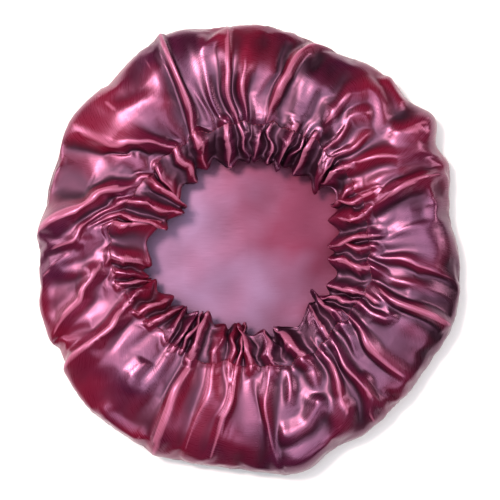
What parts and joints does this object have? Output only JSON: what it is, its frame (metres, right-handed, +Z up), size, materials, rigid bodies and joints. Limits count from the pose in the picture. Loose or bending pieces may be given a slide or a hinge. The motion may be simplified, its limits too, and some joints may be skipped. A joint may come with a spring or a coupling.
{
  "type": "sleep bonnet",
  "caption": "Round satin sleep bonnet lying on its crown, its puffed edge gathered into a casing round an elastic mouth that faces up.",
  "frame": {"origin": "centre of the bounding box in plan, on the floor that the crown rests on", "axes": "+Z up out of the mouth, +X to the right and +Y to the top as the picture shows it from above"},
  "size_m": [0.3462, 0.371, 0.0493],
  "materials": {
    "crown": "rose and wine red satin, shot with mauve",
    "casing": "the crown's satin, folded and ruched",
    "elastic": "flat braided elastic, hidden in the casing"
  },
  "bodies": {
    "root": {"crown": "crown", "casing": "casing", "elastic": "elastic"}
  },
  "joints": []
}
